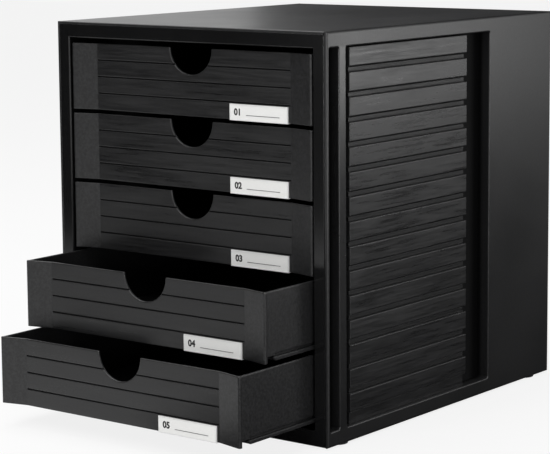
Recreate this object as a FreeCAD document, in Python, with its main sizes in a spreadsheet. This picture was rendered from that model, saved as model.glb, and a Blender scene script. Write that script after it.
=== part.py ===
"""Desktop drawer unit: a moulded housing with ribbed side walls and five drawers on moulded runner ledges.

Millimetres. X runs across the unit, Y from front to back and Z up. The origin is on the desk, under the
centre of the housing. The fourth and fifth drawers are modelled pulled out, the others closed.
"""
import FreeCAD, Part
import os
import re
import Sketcher

DRAWERS = 5
RIBS_PER_DRAWER = 3
PULLED_OUT = {4: "pull_fourth", 5: "pull_fifth"}

# Sizes that are chosen one by one.
CHOSEN = {
    # Drawer front, flat in the middle and angled forward at both ends
    "front_width": 244.8,
    "front_height": 54.1,
    "front_gap": 3.4,
    "front_setback": 0.6,
    "front_wall": 2.0,
    "flare_width": 23.4,
    "flare_depth": 5.6,
    "end_depth": 3.0,
    "grip_radius": 21.2,
    "grip_round": 0.8,
    "groove_height": 1.0,
    "groove_depth": 1.1,
    "groove_margin": 0.4,
    "corner_round": 1.4,
    "rim_round": 0.7,
    # Tray behind the front
    "tray_inset": 0.6,
    "tray_wall": 1.8,
    "tray_floor": 1.6,
    "floor_rise": 1.3,
    "neck_length": 12.5,
    "neck_rise": 5.0,
    "rear_clearance": 4.0,
    "ridge_width": 1.4,
    "ridge_height": 2.9,
    "ridge_lead": 2.5,
    "ridge_slant": 2.2,
    "channel_height": 2.3,
    "channel_depth": 0.9,
    # Stop that ends the pull: a lug on the tray meets a nib on the side wall
    "travel": 250.0,
    "stop_play": 0.3,
    "nib_reach": 1.5,
    "nib_length": 3.0,
    "nib_setback": 3.0,
    "lug_reach": 1.9,
    "lug_length": 5.0,
    "lug_height": 10.0,
    "lug_rise": 4.0,
    "pull_fourth": 59.0,
    "pull_fifth": 90.0,
    # Label holder hooked under the front, and its card
    "label_width": 56.6,
    "label_height": 12.9,
    "label_margin": 2.4,
    "label_thickness": 1.2,
    "label_lip": 0.5,
    "hook_height": 3.5,
    "card_border": 0.8,
    "card_recess": 0.5,
    "card_thickness": 0.3,
    # Housing
    "side_gap": 1.8,
    "end_gap": 4.55,
    "post_width": 13.3,
    "top_rail": 12.8,
    "bottom_rail": 12.5,
    "housing_depth": 330.0,
    "panel": 2.0,
    "base_thickness": 2.4,
    "frame_depth": 1.8,
    "lip": 2.9,
    "seam": 0.2,
    "skin": 2.0,
    "outer_round": 1.8,
    "lid_round": 1.2,
    "lip_round": 0.6,
    "opening_bevel": 0.7,
    "edge_round": 1.1,
    # Slot, bar and ribbed window of the side walls
    "front_lip": 3.0,
    "slot_length": 12.4,
    "bar_width": 9.4,
    "rear_block": 100.4,
    "window_margin": 12.3,
    "window_round": 1.6,
    "rib_recess": 0.8,
    "rib_step": 3.4,
    "rib_height": 14.5,
    "rib_line": 1.2,
    "rib_round": 0.6,
    "rib_front_gap": 5.4,
    "rib_rear_gap": 34.0,
    "strip_setback": 3.1,
    # Runner ledges inside the side walls
    "run_gap": 0.3,
    "ledge_reach": 7.0,
    "ledge_thickness": 1.6,
    "ledge_setback": 1.5,
    # Feet
    "foot_height": 1.5,
    "foot_radius": 9.0,
    "foot_side_inset": 10.5,
    "foot_end_inset": 25.0,
    "foot_round": 0.5,
}

# Sizes that follow from the chosen ones.
DERIVED = {
    "front_half": "front_width / 2",
    "face_half": "front_half - flare_width",
    "groove_half": "face_half - groove_margin",
    "tray_half": "front_half - tray_inset",
    "room_half": "tray_half - tray_wall",
    "front_inner": "flare_depth + front_wall",
    "corner_inner": "flare_depth * (front_half - room_half) / flare_width + front_wall",
    "tray_length": "housing_depth - front_setback - panel - rear_clearance",
    "drawer_pitch": "front_height + front_gap",
    "opening_half": "front_half + side_gap",
    "housing_half": "opening_half + post_width",
    "opening_height": "%d * front_height + %d * front_gap + 2 * end_gap" % (DRAWERS, DRAWERS - 1),
    "opening_bottom": "foot_height + bottom_rail",
    "opening_top": "opening_bottom + opening_height",
    "housing_top": "opening_top + top_rail",
    "insert_half": "housing_half - lip - seam",
    "side_floor": "opening_half + skin",
    "bar_start": "front_lip + slot_length",
    "window_start": "bar_start + bar_width",
    "window_end": "housing_depth - rear_block",
    "window_bottom": "foot_height + window_margin",
    "window_top": "housing_top - window_margin",
    "rib_pitch": "drawer_pitch / %d" % RIBS_PER_DRAWER,
    "rib_top": "window_top - rib_recess",
    "rib_base": "housing_half - rib_recess - rib_step",
    "rib_start": "window_start + rib_front_gap",
    "rib_end": "window_end - rib_rear_gap",
    "lowest_rib": "rib_top - %d * rib_pitch - rib_height" % (DRAWERS * RIBS_PER_DRAWER - 1),
    "strip_start": "rib_start + strip_setback",
    "lowest_front": "opening_bottom + end_gap",
    "ledge_top": "lowest_front + floor_rise - run_gap",
    "ledge_start": "front_setback + neck_length + ledge_setback",
    "ridge_top": "floor_rise + ridge_height",
    "channel_floor": "tray_half - channel_depth",
    "stop_low": "ridge_top + lug_rise",
    "nib_start": "frame_depth + nib_setback",
    "lug_start": "nib_start + nib_length + travel + stop_play - front_setback",
    "label_right": "face_half - label_margin",
    "label_left": "label_right - label_width",
    "label_face": "flare_depth - label_thickness",
}

doc = FreeCAD.newDocument("DrawerUnit")
sheet = doc.addObject("Spreadsheet::Sheet", "Sizes")


def fill_sheet():
    """Each size has its name in column A and its value or formula, under that name as alias, in column B."""
    rows = list(CHOSEN.items()) + list(DERIVED.items())
    for row, (name, content) in enumerate(rows, start=1):
        sheet.set("A%d" % row, name)
        sheet.setAlias("B%d" % row, name)
        sheet.set("B%d" % row, str(content) if name in CHOSEN else "=" + content)
    doc.recompute()


def with_cells(formula):
    """The formula with every size name written as a cell of the sheet."""
    def cell(match):
        word = match.group()
        return "Sizes." + word if word in CHOSEN or word in DERIVED else word
    return re.sub(r"[a-z_]+", cell, formula)


def bind(thing, prop, formula):
    thing.setExpression(prop, with_cells(formula))


def number(formula):
    """The present value of a formula, to place sketch geometry before its constraints hold it."""
    return float(sheet.evalExpression(with_cells(formula)))


def new_body(label, y="0", z="0"):
    """An empty body named after the piece, its own origin at the given place of the housing."""
    body = doc.addObject("PartDesign::Body", label)
    body.Label = label
    bind(body, "Placement.Base.y", "%s - housing_depth / 2" % y)
    bind(body, "Placement.Base.z", z)
    return body


def block(body, kind, name, x, y, z):
    """Add (kind Additive) or cut (kind Subtractive) the box between the given pairs of formulas."""
    box = body.newObject("PartDesign::%sBox" % kind, name)
    for axis, prop, (low, high) in zip("xyz", ("Length", "Width", "Height"), (x, y, z)):
        bind(box, "Placement.Base." + axis, low)
        bind(box, prop, "(%s) - (%s)" % (high, low))
    return box


def origin_feature(body, role):
    return [feature for feature in body.Origin.OriginFeatures if feature.Role == role][0]


def polygon(body, name, corners, height):
    """Sketch of straight lines on the level plane at the given height; corners are pairs of formulas."""
    sketch = body.newObject("Sketcher::SketchObject", name)
    sketch.AttachmentSupport = [(origin_feature(body, "XY_Plane"), "")]
    sketch.MapMode = "FlatFace"
    bind(sketch, "AttachmentOffset.Base.z", height)
    places = [FreeCAD.Vector(number(x), number(y), 0) for x, y in corners]
    count = len(corners)
    for index in range(count):
        sketch.addGeometry(Part.LineSegment(places[index], places[(index + 1) % count]), False)
    for index, (x, y) in enumerate(corners):
        sketch.addConstraint(Sketcher.Constraint("Coincident", index, 2, (index + 1) % count, 1))
        for kind, formula in (("DistanceX", x), ("DistanceY", y)):
            line = sketch.addConstraint(Sketcher.Constraint(kind, -1, 1, index, 1, number(formula)))
            bind(sketch, "Constraints[%d]" % line, formula)
    return sketch


def pad(body, name, sketch, length):
    feature = body.newObject("PartDesign::Pad", name)
    feature.Profile = sketch
    bind(feature, "Length", length)
    return feature


def pocket(body, name, sketch, length):
    """Cut from the sketch downwards."""
    feature = body.newObject("PartDesign::Pocket", name)
    feature.Profile = sketch
    bind(feature, "Length", length)
    return feature


def pattern_up(body, name, features, pitch, count):
    """Repeat features upwards at the given pitch."""
    repeat = body.newObject("PartDesign::LinearPattern", name)
    repeat.Originals = features
    repeat.Direction = (origin_feature(body, "Z_Axis"), [""])
    bind(repeat, "Length", "%s * %d" % (pitch, count - 1))
    repeat.Occurrences = count
    body.Tip = repeat
    return repeat


def mirror_sideways(body, name, features):
    repeat = body.newObject("PartDesign::Mirrored", name)
    repeat.Originals = features
    repeat.MirrorPlane = (origin_feature(body, "YZ_Plane"), [""])
    body.Tip = repeat
    return repeat


def soften(body, kind, name, size, wanted):
    """Fillet or chamfer those edges of the body so far for which wanted(edge box) holds."""
    doc.recompute()
    base = body.Tip
    names = ["Edge%d" % index for index, edge in enumerate(base.Shape.Edges, start=1) if wanted(edge)]
    feature = body.newObject("PartDesign::" + kind, name)
    feature.Base = (base, names)
    bind(feature, "Radius" if kind == "Fillet" else "Size", size)
    return feature


def spans(edge, axis):
    """True if the edge runs along the axis: 0 for X, 1 for Y, 2 for Z."""
    box = edge.BoundBox
    lengths = (box.XLength, box.YLength, box.ZLength)
    return lengths[axis] > 0.01 and sum(lengths) - lengths[axis] < 0.01


def lies_at(edge, axis, place):
    """True if the whole edge has the given coordinate."""
    box = edge.BoundBox
    low, high = ((box.XMin, box.XMax), (box.YMin, box.YMax), (box.ZMin, box.ZMax))[axis]
    return abs(low - place) < 0.01 and abs(high - place) < 0.01


def tray_outline():
    """Plan of the drawer: the flared front, its short ends and the straight tray behind."""
    right = [
        ("face_half", "flare_depth"),
        ("front_half", "0"),
        ("front_half", "end_depth"),
        ("tray_half", "end_depth"),
        ("tray_half", "tray_length"),
    ]
    left = [("-" + x, y) for x, y in reversed(right)]
    return left + right


def inner_front_line():
    """The inner side of the flared front, from the left side wall to the right one."""
    right = [("face_half", "front_inner"), ("room_half", "corner_inner")]
    return [("-" + x, y) for x, y in reversed(right)] + right


def drawer(index):
    """One drawer, a single moulding: front with grip and grooves, tray, runner ridges and stop lugs."""
    pull = PULLED_OUT.get(index, "0")
    bottom = "opening_top - end_gap - %d * front_height - %d * front_gap" % (index, index - 1)
    body = new_body("drawer_%d" % index, y="front_setback - %s" % pull, z=bottom)

    outline = polygon(body, "outline", tray_outline(), "0")
    pad(body, "tray", outline, "front_height")

    neck_back = "neck_length + tray_floor"
    neck_room = inner_front_line() + [("room_half", neck_back), ("-room_half", neck_back)]
    neck_sketch = polygon(body, "neck_outline", neck_room, "front_height")
    pocket(body, "neck_room", neck_sketch, "front_height - neck_rise - tray_floor")
    block(body, "Subtractive", "room", ("-room_half", "room_half"), (neck_back, "tray_length - tray_wall"),
          ("floor_rise + tray_floor", "front_height + 1"))

    beside = "front_half + 1"
    other_side = "-front_half - 1"
    under = [(other_side, "end_depth"), ("-room_half", "end_depth")]
    under += inner_front_line()
    under += [("room_half", "end_depth"), (beside, "end_depth"), (beside, "neck_length"), (other_side, "neck_length")]
    under_sketch = polygon(body, "neck_underside", under, "neck_rise")
    pocket(body, "neck_underside_cut", under_sketch, "neck_rise + 1")
    block(body, "Subtractive", "floor_underside", (other_side, beside),
          ("neck_length", "tray_length + 1"), ("-1", "floor_rise"))

    channel_rise = ("ridge_top", "ridge_top + channel_height")
    block(body, "Subtractive", "right_channel", ("channel_floor", beside), ("neck_length", "tray_length + 1"),
          channel_rise)
    block(body, "Subtractive", "left_channel", (other_side, "-channel_floor"), ("neck_length", "tray_length + 1"),
          channel_rise)
    ridge = block(body, "Additive", "ridge", ("channel_floor", "tray_half + ridge_width"),
                  ("neck_length - ridge_lead", "tray_length"), ("floor_rise", "ridge_top"))
    lug = block(body, "Additive", "stop_lug", ("tray_half - tray_wall / 2", "tray_half + lug_reach"),
                ("lug_start", "lug_start + lug_length"), ("stop_low", "stop_low + lug_height"))
    mirror_sideways(body, "left_ridge_and_lug", [ridge, lug])

    grip = body.newObject("PartDesign::SubtractiveCylinder", "grip")
    bind(grip, "Radius", "grip_radius")
    bind(grip, "Height", "front_inner + 2")
    grip.Placement.Rotation = FreeCAD.Rotation(FreeCAD.Vector(1, 0, 0), -90)
    bind(grip, "Placement.Base.y", "-1")
    bind(grip, "Placement.Base.z", "front_height")
    front_plane = number("flare_depth")
    soften(body, "Fillet", "grip_edge", "grip_round",
           lambda edge: lies_at(edge, 1, front_plane) and edge.BoundBox.XLength > 1 and edge.BoundBox.ZLength > 1)

    for line in (1, 2, 3):
        level = "front_height * %d / 4" % line
        block(body, "Subtractive", "groove_%d" % line, ("-groove_half", "groove_half"),
              ("flare_depth - 1", "flare_depth + groove_depth"),
              (level + " - groove_height / 2", level + " + groove_height / 2"))

    ridge_front, ridge_low = number("neck_length - ridge_lead"), number("floor_rise")
    soften(body, "Chamfer", "ridge_fronts", "ridge_slant",
           lambda edge: lies_at(edge, 1, ridge_front) and lies_at(edge, 2, ridge_low))
    half = number("front_half")
    top = number("front_height")
    soften(body, "Fillet", "front_corners", "corner_round",
           lambda edge: spans(edge, 2) and lies_at(edge, 1, 0) and abs(abs(edge.BoundBox.XMin) - half) < 0.01)
    soften(body, "Fillet", "rim", "rim_round", lambda edge: lies_at(edge, 2, top))
    return body


def label(index):
    """The white holder hooked under a front's lower edge, and the card in its shallow tray."""
    pull = PULLED_OUT.get(index, "0")
    bottom = "opening_top - end_gap - %d * front_height - %d * front_gap" % (index, index - 1)
    place = {"y": "front_setback - %s" % pull, "z": bottom}
    width = ("label_left", "label_right")
    low = "-label_lip"
    high = "label_height - label_lip"

    holder = new_body("label_holder_%d" % index, **place)
    block(holder, "Additive", "plate", width, ("label_face", "flare_depth"), (low, high))
    block(holder, "Additive", "lip", width, ("label_face", "front_inner + label_lip"), (low, "0"))
    block(holder, "Additive", "hook", width, ("front_inner", "front_inner + label_lip"), (low, "hook_height"))
    inside_x = ("label_left + card_border", "label_right - card_border")
    inside_z = (low + " + card_border", high + " - card_border")
    block(holder, "Subtractive", "card_tray", inside_x, ("label_face - 1", "label_face + card_recess"), inside_z)

    card = new_body("label_card_%d" % index, **place)
    back = "label_face + card_recess"
    block(card, "Additive", "card", inside_x, (back + " - card_thickness", back), inside_z)
    return holder, card


def right_side():
    """The right side wall. Its outer face has a deep slot, a flush bar and a window with raised ribs."""
    body = new_body("right_side")
    inner = "opening_half"
    outer = "housing_half"
    insert = "insert_half + seam"
    beyond = "housing_half + 1"
    before_inner = "opening_half - 1"
    block(body, "Additive", "wall", (inner, outer), ("0", "housing_depth"), ("foot_height", "housing_top"))
    x_outer = number(outer)
    soften(body, "Fillet", "outer_edges", "outer_round", lambda edge: lies_at(edge, 0, x_outer))

    # Rebates that seat the front frame, the back, the base and the lid inside the outer lips.
    full_depth = ("-1", "housing_depth + 1")
    full_height = ("foot_height - 1", "housing_top + 1")
    block(body, "Subtractive", "frame_seat", (before_inner, insert), ("-1", "frame_depth"), full_height)
    block(body, "Subtractive", "back_seat", (before_inner, insert), ("housing_depth - panel", "housing_depth + 1"),
          full_height)
    block(body, "Subtractive", "base_seat", (before_inner, insert), full_depth,
          ("foot_height - 1", "foot_height + base_thickness"))
    block(body, "Subtractive", "lid_seat", (before_inner, insert), full_depth,
          ("housing_top - panel", "housing_top + 1"))

    # Hollows on the inner side that leave even walls.
    block(body, "Subtractive", "rear_hollow", (before_inner, "housing_half - skin"),
          ("window_end + skin", "housing_depth - panel - skin"),
          ("foot_height + base_thickness + skin", "housing_top - panel - skin"))
    rail_depth = ("window_start", "window_end - skin")
    block(body, "Subtractive", "top_rail_hollow", (before_inner, "housing_half - skin"), rail_depth,
          ("window_top + skin", "housing_top - panel - skin"))
    block(body, "Subtractive", "bottom_rail_hollow", (before_inner, "housing_half - skin"), rail_depth,
          ("foot_height + base_thickness + skin", "window_bottom - skin"))

    window_height = ("window_bottom", "window_top")
    block(body, "Subtractive", "slot", ("side_floor", beyond), ("front_lip", "bar_start"), window_height)
    block(body, "Subtractive", "window", ("side_floor", beyond), ("window_start", "window_end"), window_height)

    def window_corner(edge):
        box = edge.BoundBox
        depths = [number(name) for name in ("front_lip", "bar_start", "window_start", "window_end")]
        heights = [number(name) for name in window_height]
        at_depth = any(abs(box.YMin - place) < 0.01 for place in depths)
        at_height = any(abs(box.ZMin - place) < 0.01 for place in heights)
        return spans(edge, 0) and at_depth and at_height and abs(box.XMax - x_outer) < 0.01
    soften(body, "Fillet", "window_corners", "window_round", window_corner)

    block(body, "Additive", "rib_block", ("side_floor - skin / 2", "rib_base"), ("strip_start", "rib_end"),
          ("window_bottom", "rib_top"))
    rib = block(body, "Additive", "rib", ("rib_base - skin / 2", "rib_base + rib_step"), ("rib_start", "rib_end"),
                ("lowest_rib", "lowest_rib + rib_height"))
    pattern_up(body, "ribs", [rib], "rib_pitch", DRAWERS * RIBS_PER_DRAWER)
    line = block(body, "Subtractive", "rib_line_cut", ("rib_base - rib_line", "rib_base + rib_step"),
                 ("rib_start - 1", "rib_end + 1"), ("lowest_rib - rib_line", "lowest_rib"))
    pattern_up(body, "rib_lines", [line], "rib_pitch", DRAWERS * RIBS_PER_DRAWER)
    block(body, "Subtractive", "rib_hollow", (before_inner, "rib_base - skin"),
          ("strip_start + skin", "rib_end - skin"), ("window_bottom + skin", "rib_top - skin"))

    ledge = block(body, "Additive", "ledge", ("opening_half - ledge_reach", "opening_half + skin / 2"),
                  ("ledge_start", "housing_depth - panel"), ("ledge_top - ledge_thickness", "ledge_top"))
    nib = block(body, "Additive", "stop_nib", ("opening_half - nib_reach", "opening_half + skin / 2"),
                ("nib_start", "nib_start + nib_length"),
                ("lowest_front + stop_low", "lowest_front + stop_low + lug_height"))
    pattern_up(body, "ledges_and_nibs", [ledge, nib], "drawer_pitch", DRAWERS)

    seat, top, back = (number(name) for name in (insert, "housing_top", "housing_depth"))
    soften(body, "Fillet", "lip_edges", "lip_round", lambda edge: lies_at(edge, 0, seat) and (
        lies_at(edge, 1, 0) or lies_at(edge, 1, back) or lies_at(edge, 2, top)))
    rib_face = x_outer - number("rib_recess")
    soften(body, "Fillet", "rib_edges", "rib_round", lambda edge: lies_at(edge, 0, rib_face))
    slot_low, slot_high = (number(name) for name in window_height)

    def window_edge(edge):
        box = edge.BoundBox
        in_height = box.ZMin > slot_low - 0.01 and box.ZMax < slot_high + 0.01
        return lies_at(edge, 0, x_outer) and in_height
    soften(body, "Fillet", "window_edges", "edge_round", window_edge)
    return body


def left_side(right):
    """The left side wall, the mirror image of the right one."""
    mirror = doc.addObject("Part::Mirroring", "left_side")
    mirror.Label = "left_side"
    mirror.Source = right
    mirror.Normal = FreeCAD.Vector(1, 0, 0)
    return mirror


def front_frame():
    """The flat frame around the drawers, seated between the lips of the side walls."""
    body = new_body("front_frame")
    block(body, "Additive", "plate", ("-insert_half", "insert_half"), ("0", "frame_depth"),
          ("foot_height", "housing_top - panel - seam"))
    block(body, "Subtractive", "opening", ("-opening_half", "opening_half"), ("-1", "frame_depth + 1"),
          ("opening_bottom", "opening_top"))
    opening_half, low, high = (number(name) for name in ("opening_half", "opening_bottom", "opening_top"))

    def opening_edge(edge):
        box = edge.BoundBox
        inside = box.XMin > -opening_half - 0.01 and box.XMax < opening_half + 0.01
        return lies_at(edge, 1, 0) and inside and box.ZMin > low - 0.01 and box.ZMax < high + 0.01
    soften(body, "Chamfer", "opening_bevel_cut", "opening_bevel", opening_edge)
    foot = number("foot_height")
    soften(body, "Fillet", "lower_edge", "lid_round",
           lambda edge: lies_at(edge, 1, 0) and lies_at(edge, 2, foot))
    return body


def top_panel():
    """The lid, between the upper lips of the side walls, with rounded front and back edges."""
    body = new_body("top_panel")
    block(body, "Additive", "lid", ("-insert_half", "insert_half"), ("0", "housing_depth"),
          ("housing_top - panel", "housing_top"))
    top = number("housing_top")
    soften(body, "Fillet", "front_and_back", "lid_round",
           lambda edge: spans(edge, 0) and lies_at(edge, 2, top))
    return body


def base_panel():
    """The floor of the housing, under the side walls and behind the front frame."""
    body = new_body("base_panel")
    block(body, "Additive", "floor", ("-insert_half", "insert_half"), ("frame_depth", "housing_depth - panel"),
          ("foot_height", "foot_height + base_thickness"))
    return body


def back_panel():
    """The closed back, seated between the rear lips of the side walls."""
    body = new_body("back_panel")
    block(body, "Additive", "plate", ("-insert_half", "insert_half"), ("housing_depth - panel", "housing_depth"),
          ("foot_height", "housing_top - panel"))
    return body


def foot(name, side, end):
    """One low round foot under a corner of the housing."""
    y = "foot_end_inset" if end == "front" else "housing_depth - foot_end_inset"
    x = "housing_half - foot_side_inset"
    body = new_body(name)
    disc = body.newObject("PartDesign::AdditiveCylinder", "disc")
    bind(disc, "Placement.Base.x", x if side == "right" else "-(%s)" % x)
    bind(disc, "Placement.Base.y", y)
    bind(disc, "Radius", "foot_radius")
    bind(disc, "Height", "foot_height")
    soften(body, "Fillet", "round_edge", "foot_round", lambda edge: lies_at(edge, 2, 0))
    return body


def build():
    """Every piece of the unit, in a list."""
    fill_sheet()
    right = right_side()
    pieces = [right, left_side(right), front_frame(), top_panel(), base_panel(), back_panel()]
    for end in ("front", "back"):
        for side in ("left", "right"):
            pieces.append(foot("foot_%s_%s" % (end, side), side, end))
    for index in range(1, DRAWERS + 1):
        pieces.append(drawer(index))
        pieces.extend(label(index))
    doc.recompute()
    return pieces


def check(pieces):
    """Stop if an object failed or a piece is not one valid solid."""
    for thing in doc.Objects:
        if "Invalid" in thing.State or "Error" in thing.State:
            raise RuntimeError("%s failed: %s" % (thing.Name, thing.State))
    for piece in pieces:
        shape = piece.Shape
        if shape.isNull() or not shape.isValid() or len(shape.Solids) != 1:
            raise RuntimeError("%s is not one valid solid" % piece.Label)


def write(pieces):
    os.makedirs("parts", exist_ok=True)
    for piece in pieces:
        piece.Shape.exportStep("parts/%s.step" % piece.Label)
        box = piece.Shape.BoundBox
        print("%-18s %8.1f cm3  x %7.2f %7.2f  y %7.2f %7.2f  z %7.2f %7.2f" % (
            piece.Label, piece.Shape.Volume / 1000, box.XMin, box.XMax, box.YMin, box.YMax, box.ZMin, box.ZMax))


made = build()
check(made)
write(made)
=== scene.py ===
"""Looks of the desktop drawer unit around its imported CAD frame. Metres, the frame of the CAD."""
import math

import bpy
from mathutils import Matrix, Vector


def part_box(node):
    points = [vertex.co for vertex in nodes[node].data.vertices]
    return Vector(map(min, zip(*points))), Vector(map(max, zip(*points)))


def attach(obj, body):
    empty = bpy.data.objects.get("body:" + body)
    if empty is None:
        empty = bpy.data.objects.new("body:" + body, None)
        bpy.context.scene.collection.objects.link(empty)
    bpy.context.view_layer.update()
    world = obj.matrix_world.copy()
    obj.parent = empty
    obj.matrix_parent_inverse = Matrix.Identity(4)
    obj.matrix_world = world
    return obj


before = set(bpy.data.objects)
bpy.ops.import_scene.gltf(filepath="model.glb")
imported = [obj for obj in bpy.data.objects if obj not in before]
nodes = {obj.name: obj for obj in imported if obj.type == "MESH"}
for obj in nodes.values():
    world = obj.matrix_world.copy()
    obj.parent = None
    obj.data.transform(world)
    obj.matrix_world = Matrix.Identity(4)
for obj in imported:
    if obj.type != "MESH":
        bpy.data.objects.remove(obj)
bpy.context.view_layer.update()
DRAWERS = range(1, 6)

# Camera, found by fitting the housing's and the drawers' edges. Yaw, pitch and roll are in degrees.
YAW, PITCH, ROLL = 37.669, -7.770, -0.445
PLACE = Vector((1.0501, -1.4113, 0.4177))
FRAME_WIDTH = 550  # pixels
FOCAL = 2077.7  # pixels
SHIFT = -0.08
SENSOR = 36.0
CLIP_START, CLIP_END = 0.05, 50

# Where the black plastic changes: the ribs, bar and deep hollows of the side walls, the fronts' flat middle.
RIBS = ("Y", -0.135, 0.031)
FLAT_FRONT = ("X", -0.099, 0.099)
WINDOW_LEVELS = (0.0138, 0.3077)
ANY_LEVEL = (-1, 1)
BAR = (-0.150, -0.140)
# Faces nearer the middle plane than HOLLOW_AT lie deep in the side-wall hollows and get painted shade.
HOLLOW_AT = 0.1285  # from the middle plane; faces nearer to it are deep inside
HOLLOW_BLUR = 0.0035
SPAN_BLUR = 0.0005

# The range that a noise texture mostly fills.
NOISE_LOW, NOISE_HIGH = 0.3, 0.7

# Cards: shares of the card's height, and metres.
NUMBER_SIZE, NUMBER_BOLDNESS, RULE_LEVEL = 0.62, 0.026, 0.32
NUMBER_INSET, INK_DEPTH, INK_PROUD = 0.0035, 0.00002, 0.00004
RULE_RADIUS, RULE_START, RULE_END = 0.00028, 0.0155, 0.007

# Studio. Lamps: name, place, point aimed at, width, height, watts.
LAMPS = (
    ("over", (-0.5, -0.1, 1.9), (0, 0, 0.15), 1.2, 1.2, 16),
    ("front", (0.2, -2.0, 2.1), (0, -0.1, 0.15), 1.4, 1.4, 23),
    ("corner", (1.5, -0.9, 0.17), (0.1, -0.15, 0.25), 0.4, 0.3, 5.5),
    ("side", (1.10, 0.85, 0.27), (0.14, -0.12, 0.27), 0.55, 0.3, 2.6),
)
# Upright flags: name, start, end, height. The low one lies just above the floor.
FLAGS = (
    ("flag_back", (-0.955, 1.14), (0.58, 1.14), 2.0),
    ("flag_left", (-1.70, 0.09), (-0.36, -0.955), 1.2),
    ("flag_right", (0.35, 1.25), (1.35, 0.45), 0.16),
)
LOW_FLAG = ((0.0, -1.2), (1.2, 1.2), 0.0004)
FLOOR_REACH = 9.0
FLOOR_GLOW = 0.84
WORLD_LIGHT, WORLD_SEEN = 0.4, 0.93
WHITE = (1, 1, 1, 1)


def show(name, data):
    """A new object of the scene that holds data."""
    thing = bpy.data.objects.new(name, data)
    bpy.context.scene.collection.objects.link(thing)
    return thing


def make_camera():
    yaw, pitch, roll = (math.radians(angle) for angle in (YAW, PITCH, ROLL))
    turn = Matrix(((math.cos(yaw), math.sin(yaw), 0), (-math.sin(yaw), math.cos(yaw), 0), (0, 0, 1)))
    tilt = Matrix(((1, 0, 0), (0, math.cos(pitch), math.sin(pitch)), (0, -math.sin(pitch), math.cos(pitch))))
    lean = Matrix(((math.cos(roll), 0, math.sin(roll)), (0, 1, 0), (-math.sin(roll), 0, math.cos(roll))))
    right, forward, up = lean @ tilt @ turn
    data = bpy.data.cameras.new("camera")
    camera = show("camera", data)
    axes = Matrix((right, up, -forward)).transposed()
    camera.matrix_world = Matrix.Translation(PLACE) @ axes.to_4x4()
    data.sensor_width = SENSOR
    data.lens = FOCAL * SENSOR / FRAME_WIDTH
    data.shift_y = SHIFT
    data.clip_start = CLIP_START
    data.clip_end = CLIP_END
    bpy.context.scene.camera = camera


def grey(value):
    """A dark neutral, very slightly blue."""
    return (value, value, value * 1.04, 1.0)


class Nodes:
    """A material's node tree, with short calls for the nodes used here."""

    def __init__(self, name):
        self.material = bpy.data.materials.new(name)
        self.material.use_nodes = True
        self.tree = self.material.node_tree
        self.shader = self.tree.nodes["Principled BSDF"]

    def add(self, kind, **settings):
        node = self.tree.nodes.new("ShaderNode" + kind)
        for key, value in settings.items():
            setattr(node, key, value)
        return node

    def link(self, source, target):
        self.tree.links.new(source, target)

    def put(self, socket, value):
        """Link value if it is a socket, else set it."""
        if isinstance(value, bpy.types.NodeSocket):
            self.link(value, socket)
        else:
            socket.default_value = value

    def set(self, name, value):
        """Link or set the shader's socket of that name."""
        self.put(self.shader.inputs[name], value)

    def place(self):
        return self.add("TexCoord").outputs["Object"]

    def part(self, vector, axis):
        split = self.add("SeparateXYZ")
        self.link(vector, split.inputs[0])
        return split.outputs[axis]

    def between(self, axis, low, high):
        """1 where the coordinate lies between low and high, 0 elsewhere."""
        place = self.part(self.place(), axis)
        return self.times(self.span(place, low - SPAN_BLUR, low + SPAN_BLUR, 0, 1),
                          self.span(place, high - SPAN_BLUR, high + SPAN_BLUR, 1, 0))

    def noise(self, scale, detail=2.0, roughness=0.5, stretch=(1, 1, 1)):
        mapping = self.add("Mapping")
        self.link(self.place(), mapping.inputs["Vector"])
        mapping.inputs["Scale"].default_value = stretch
        texture = self.add("TexNoise")
        self.link(mapping.outputs["Vector"], texture.inputs["Vector"])
        texture.inputs["Scale"].default_value = scale
        texture.inputs["Detail"].default_value = detail
        texture.inputs["Roughness"].default_value = roughness
        return texture.outputs["Fac"]

    def span(self, value, low, high, new_low, new_high):
        """value from low..high to new_low..new_high, clamped."""
        node = self.add("MapRange")
        for socket, number in zip(node.inputs[1:5], (low, high, new_low, new_high)):
            socket.default_value = number
        self.put(node.inputs[0], value)
        return node.outputs[0]

    def spread(self, noise, new_low, new_high):
        """The usual range of a noise to new_low..new_high."""
        return self.span(noise, NOISE_LOW, NOISE_HIGH, new_low, new_high)

    def maths(self, operation, first, second=0.0):
        node = self.add("Math", operation=operation)
        self.put(node.inputs[0], first)
        self.put(node.inputs[1], second)
        return node.outputs[0]

    def times(self, first, second):
        return self.maths("MULTIPLY", first, second)

    def plus(self, first, second):
        return self.maths("ADD", first, second)

    def mix(self, share, first, second):
        node = self.add("Mix", data_type="RGBA")
        self.put(node.inputs["Factor"], share)
        self.put(node.inputs["A"], first)
        self.put(node.inputs["B"], second)
        return node.outputs["Result"]

    def rounded(self, radius):
        """The surface's normal with its edges rounded by radius."""
        bevel = self.add("Bevel", samples=4)
        bevel.inputs["Radius"].default_value = radius
        return bevel.outputs["Normal"]

    def edges(self, radius):
        """1 at the edges, 0 elsewhere."""
        dot = self.add("VectorMath", operation="DOT_PRODUCT")
        self.link(self.rounded(radius), dot.inputs[0])
        self.link(self.add("NewGeometry").outputs["Normal"], dot.inputs[1])
        return self.span(self.maths("SUBTRACT", 1.0, dot.outputs["Value"]), 0.02, 0.25, 0, 1)

    def open_faces(self, distance):
        """1 on open faces, 0 in the creases within distance."""
        crevice = self.add("AmbientOcclusion", samples=6, only_local=True)
        crevice.inputs["Distance"].default_value = distance
        return self.span(crevice.outputs["AO"], 0.4, 0.85, 0.0, 1.0)

    def bump(self, height, distance, normal=None):
        node = self.add("Bump")
        node.inputs["Strength"].default_value = 1.0
        node.inputs["Distance"].default_value = distance
        self.link(height, node.inputs["Height"])
        if normal is not None:
            self.link(normal, node.inputs["Normal"])
        return node.outputs["Normal"]


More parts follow.
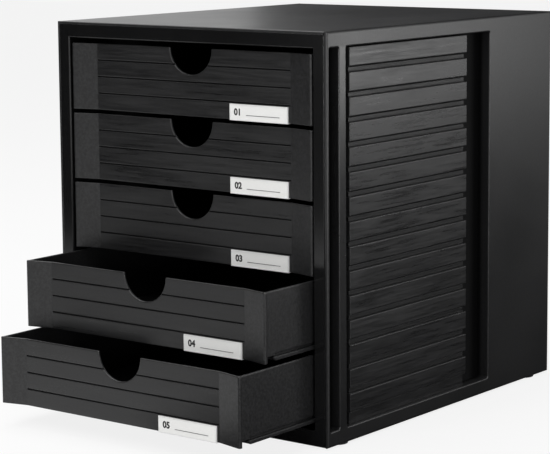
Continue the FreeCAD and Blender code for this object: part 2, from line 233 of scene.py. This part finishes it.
def black_plastic(name, base, rough, grain, mottle=0.3, streak=0.0, within=None, levels=ANY_LEVEL,
                  hollow=None, polish=None, edge=0.0006):
    """Moulded polystyrene: eroded grain, flow streaks, cloudy gloss, scuffed edges lightened as painted
    highlights, a light dusting with painted sheen on level faces, and painted shade in creases.

    grain and streak are heights in metres, mottle the share of the pebbled tint. within is the axis and the
    span that hold the streaks, between the two levels. hollow is a distance from the middle plane, in metres,
    under which faces get painted shade, a darker colour and darker reflections, and are dull. polish is a
    span along Y and the roughness taken off there.
    """
    n = Nodes(name)
    clouds = n.noise(scale=7.0, detail=4.0, roughness=0.6)
    fine = n.noise(scale=2300.0, detail=2.0, roughness=0.65)
    medium = n.noise(scale=700.0, detail=3.0, roughness=0.6)
    patches = n.span(n.noise(scale=55.0, detail=6.0, roughness=0.75), 0.42, 0.66, 0.0, 1.0)
    pebbles = n.span(n.noise(scale=450.0, detail=3.0, roughness=0.7), 0.4, 0.62, 0.0, mottle)
    # Painted edge highlight, partly edge wear: the edge mask, broken up in patches, marks where edges are
    # lightened.
    edge_highlight_and_wear = n.times(n.edges(edge), n.span(patches, 0, 1, 0.3, 1.0))

    tint = n.mix(n.spread(clouds, 0, 1), grey(base * 0.82), grey(base * 1.18))
    gloss = n.spread(clouds, rough - 0.03, rough + 0.04)
    relief = n.plus(n.times(fine, grain), n.times(medium, grain * 3.0))
    if within is not None:
        level = n.between("Z", *levels)
        inside = n.times(n.between(*within), level)
        flow = n.noise(scale=480.0, detail=4.0, roughness=0.7, stretch=(0.05, 0.05, 1.0))
        broad = n.noise(scale=60.0, detail=3.0, roughness=0.6, stretch=(0.12, 0.12, 1.0))
        pebbles = n.times(pebbles, n.span(inside, 0, 1, 1.0, 0.25))
        tint = n.mix(n.times(inside, n.span(flow, 0.4, 0.65, 0.0, 0.6)), tint, grey(base * 2.0))
        waves = n.plus(n.spread(flow, -0.09, 0.09), n.spread(broad, -0.07, 0.07))
        gloss = n.plus(gloss, n.times(inside, waves))
        if polish is not None:
            start, end, less = polish
            gloss = n.maths("SUBTRACT", gloss, n.times(n.times(n.between("Y", start, end), level), less))
        relief = n.times(relief, n.span(inside, 0, 1, 1.0, 0.35))
        relief = n.plus(relief, n.times(inside, n.times(flow, streak)))

    facing_up = n.part(n.add("NewGeometry").outputs["Normal"], "Z")
    # Painted sheen, partly dust: faces that look up are marked for lightening.
    dust_and_sheen = n.times(n.span(facing_up, 0.6, 1.0, 0, 0.05), n.span(medium, 0.35, 0.65, 0.2, 1.0))
    tint = n.mix(pebbles, tint, grey(base * 3.2))
    # Painted sheen, partly dust: up-facing faces are lightened towards grey 0.25.
    tint = n.mix(dust_and_sheen, tint, grey(0.25))
    # Painted edge highlight, partly wear: edges are lightened towards six times the base colour.
    tint = n.mix(n.times(edge_highlight_and_wear, 0.6), tint, grey(base * 6.0))
    # Painted shade: creases within the distance, and the deep hollows, get a darker colour and darker
    # reflections.
    clear = n.open_faces(distance=0.004)
    if hollow is not None:
        aside = n.maths("ABSOLUTE", n.part(n.place(), "X"))
        clear = n.times(clear, n.span(aside, hollow, hollow + HOLLOW_BLUR, 0.0, 1.0))
    gloss = n.plus(gloss, n.times(edge_highlight_and_wear, -0.06))

    # Painted shade where clear is low: base colour down to 0.3 of its value, reflections tinted down to 0.06.
    n.set("Base Color", n.mix(clear, grey(base * 0.3), tint))
    n.set("Specular Tint", n.mix(clear, grey(0.06), WHITE))
    n.set("Roughness", n.plus(gloss, n.span(clear, 0, 1, 0.4, 0)))
    n.set("Normal", n.bump(relief, distance=1.0, normal=n.rounded(edge)))
    return n.material


def white_plastic(name):
    n = Nodes(name)
    clouds = n.noise(scale=40.0, detail=3.0)
    n.set("Base Color", n.mix(n.spread(clouds, 0, 1), (0.80, 0.80, 0.79, 1), (0.86, 0.86, 0.855, 1)))
    n.set("Roughness", n.spread(clouds, 0.33, 0.42))
    n.set("Normal", n.bump(n.noise(scale=1800.0), distance=0.00001, normal=n.rounded(radius=0.0003)))
    return n.material


def paper(name):
    n = Nodes(name)
    fibres = n.noise(scale=900.0, detail=5.0, roughness=0.7, stretch=(1, 1, 3))
    n.set("Base Color", n.mix(n.spread(fibres, 0, 1), (0.84, 0.84, 0.82, 1), (0.90, 0.90, 0.885, 1)))
    n.set("Roughness", 0.75)
    n.set("Specular IOR Level", 0.3)
    n.set("Normal", n.bump(fibres, distance=0.00002))
    return n.material


def ink(name, value):
    n = Nodes(name)
    n.set("Base Color", n.mix(n.noise(scale=1500.0, detail=3.0), grey(value * 0.8), grey(value * 1.25)))
    n.set("Roughness", 0.6)
    return n.material


def rubber(name):
    n = Nodes(name)
    grain = n.noise(scale=1600.0, detail=4.0, roughness=0.65)
    n.set("Base Color", n.mix(grain, grey(0.012), grey(0.03)))
    n.set("Roughness", n.spread(grain, 0.7, 0.85))
    n.set("Normal", n.bump(grain, distance=0.00004))
    return n.material


def dress():
    """Give every CAD node its material, by the start of its name."""
    sides = black_plastic("side_plastic", base=0.009, rough=0.33, grain=0.000008, streak=0.00003,
                          within=RIBS, levels=WINDOW_LEVELS, hollow=HOLLOW_AT, polish=(*BAR, 0.06))
    finishes = {
        "drawer": black_plastic("drawer_plastic", base=0.008, rough=0.36, grain=0.00002, mottle=0.7,
                                streak=0.00003, within=FLAT_FRONT, edge=0.0012),
        "label_holder": white_plastic("holder_plastic"),
        "label_card": paper("card_paper"),
        "foot": rubber("foot_rubber"),
        "front_frame": black_plastic("frame_plastic", base=0.006, rough=0.16, grain=0.000001, mottle=0.1),
        "top_panel": black_plastic("lid_plastic", base=0.010, rough=0.35, grain=0.000006),
        "left_side": sides,
        "right_side": sides,
    }
    panels = black_plastic("panel_plastic", base=0.009, rough=0.38, grain=0.000008)
    for name in nodes:
        finish = next((finishes[start] for start in finishes if name.startswith(start)), panels)
        slots = nodes[name].data.materials
        slots.clear()
        slots.append(finish)


def make_number(index, low, high, material):
    """The drawer's number, printed near the left end of its card."""
    height = high.z - low.z
    name = "number_%d" % index
    text = bpy.data.curves.new(name, "FONT")
    text.body = "%02d" % index
    text.size = height * NUMBER_SIZE
    text.offset = height * NUMBER_BOLDNESS
    text.extrude = INK_DEPTH
    text.align_x = "LEFT"
    text.align_y = "CENTER"
    text.materials.append(material)
    number = show(name, text)
    place = Matrix.Translation((low.x + NUMBER_INSET, low.y - INK_PROUD, (low.z + high.z) / 2))
    number.matrix_world = place @ Matrix.Rotation(math.radians(90), 4, "X")
    return number


def make_rule(index, low, high, material):
    """A thin line to write on, right of the number."""
    name = "line_%d" % index
    line = bpy.data.curves.new(name, "CURVE")
    line.dimensions = "3D"
    line.bevel_depth = RULE_RADIUS
    line.bevel_resolution = 2
    run = line.splines.new("POLY")
    run.points.add(1)
    for point, x in zip(run.points, (low.x + RULE_START, high.x - RULE_END)):
        point.co = (x, low.y, low.z + (high.z - low.z) * RULE_LEVEL, 1)
    line.materials.append(material)
    return show(name, line)


def print_cards():
    """A plain number and a thin writing line on each label card."""
    dark, mid = ink("number_ink", 0.012), ink("rule_ink", 0.16)
    for index in DRAWERS:
        low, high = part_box("label_card_%d" % index)
        body = "drawer_body_%d" % index
        for piece in (make_number(index, low, high, dark), make_rule(index, low, high, mid)):
            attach(piece, body)


def area(name, place, target, width, height, watts):
    data = bpy.data.lights.new(name, "AREA")
    data.shape = "RECTANGLE"
    data.size = width
    data.size_y = height
    data.energy = watts
    lamp = show(name, data)
    lamp.location = place
    lamp.visible_camera = False
    lamp.rotation_mode = "QUATERNION"
    lamp.rotation_quaternion = (Vector(target) - Vector(place)).to_track_quat("-Z", "Y")


def seen_by_eye(tree):
    """1 on camera, glossy and transmission rays, 0 on the rays that light the object."""
    path = tree.nodes.new("ShaderNodeLightPath")
    seen = path.outputs["Is Camera Ray"]
    for name in ("Is Glossy Ray", "Is Transmission Ray"):
        either = tree.nodes.new("ShaderNodeMath")
        either.operation = "MAXIMUM"
        tree.links.new(seen, either.inputs[0])
        tree.links.new(path.outputs[name], either.inputs[1])
        seen = either.outputs[0]
    return seen


def sheet(name, corners, material):
    mesh = bpy.data.meshes.new(name)
    mesh.from_pydata(corners, [], [(0, 1, 2, 3)])
    mesh.materials.append(material)
    thing = show(name, mesh)
    return thing


def level_corners(start, end, height):
    (left, front), (right, back) = start, end
    return [(left, front, height), (right, front, height), (right, back, height), (left, back, height)]


def upright_corners(start, end, height):
    return [(*start, 0.0), (*end, 0.0), (*end, height), (*start, height)]


def matt(name, first, second, scale):
    """The nodes of a material without any gloss, between two colours."""
    n = Nodes(name)
    n.set("Base Color", n.mix(n.noise(scale), first, second))
    n.set("Roughness", 1.0)
    n.set("Specular IOR Level", 0.0)
    return n


def floor_material():
    """White for the eye, with the object's soft shadow, and plain off-white where it lights the object."""
    n = matt("floor", (0.88, 0.88, 0.88, 1), (0.92, 0.92, 0.92, 1), scale=3.0)
    glow = n.add("Emission")
    glow.inputs["Strength"].default_value = 1.0
    blend = n.add("MixShader")
    n.link(n.times(seen_by_eye(n.tree), FLOOR_GLOW), blend.inputs[0])
    n.link(n.shader.outputs[0], blend.inputs[1])
    n.link(glow.outputs[0], blend.inputs[2])
    n.link(blend.outputs[0], n.tree.nodes["Material Output"].inputs["Surface"])
    return n.material


def flag(name, corners):
    """A black studio flag: it shows only in reflections, and takes no light from the object."""
    thing = sheet(name, corners, matt(name, grey(0.004), grey(0.008), scale=5.0).material)
    thing.visible_camera = False
    thing.visible_diffuse = False
    thing.visible_shadow = False
    thing.visible_transmission = False


def make_world():
    """White where it is seen, and dimmer where it lights the object."""
    world = bpy.data.worlds.new("studio")
    bpy.context.scene.world = world
    world.use_nodes = True
    tree = world.node_tree
    back = tree.nodes["Background"]
    strength = tree.nodes.new("ShaderNodeMapRange")
    tree.links.new(seen_by_eye(tree), strength.inputs[0])
    strength.inputs[3].default_value = WORLD_LIGHT
    strength.inputs[4].default_value = WORLD_SEEN
    back.inputs["Color"].default_value = WHITE
    tree.links.new(strength.outputs[0], back.inputs["Strength"])


def studio():
    corner = (FLOOR_REACH, FLOOR_REACH)
    sheet("floor", level_corners((-FLOOR_REACH, -FLOOR_REACH), corner, 0), floor_material())
    for name, start, end, height in FLAGS:
        flag(name, upright_corners(start, end, height))
    flag("flag_low", level_corners(*LOW_FLAG))
    make_world()
    for lamp in LAMPS:
        area(*lamp)


make_camera()
dress()
print_cards()
studio()
bpy.context.scene.view_settings.view_transform = "Standard"
